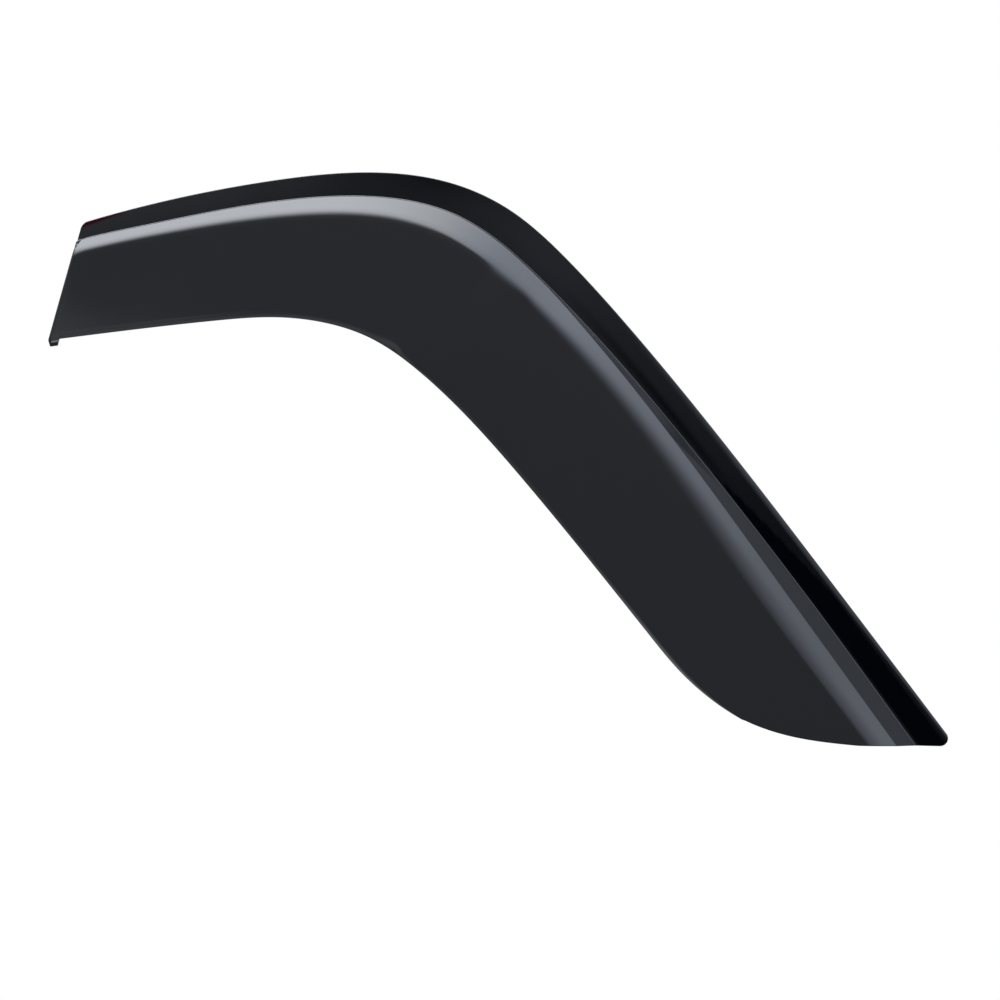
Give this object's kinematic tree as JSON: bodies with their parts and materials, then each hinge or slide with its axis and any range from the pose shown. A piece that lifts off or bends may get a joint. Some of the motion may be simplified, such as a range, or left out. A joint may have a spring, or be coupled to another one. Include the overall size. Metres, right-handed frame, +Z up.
{
  "type": "window rain deflector",
  "caption": "Long smoked acrylic rain deflector for a rear side window: bonding flange, step wall, sloped shoulder and face, arched at the front, straight down the pillar to a rounded tail.",
  "frame": {"origin": "on the door's skin, under the middle of the foam tape", "axes": "+X along the door toward the tail, +Z up, -Y the outside of the car"},
  "size_m": [0.683, 0.0479, 0.4352],
  "materials": {
    "smoked_acrylic": "smoked, nearly black, high gloss",
    "foam": "dark grey closed-cell foam",
    "liner_film": "thin red release film"
  },
  "bodies": {
    "root": {"visor": "smoked_acrylic", "foam_tape": "foam", "tape_liner": "liner_film"}
  },
  "joints": []
}
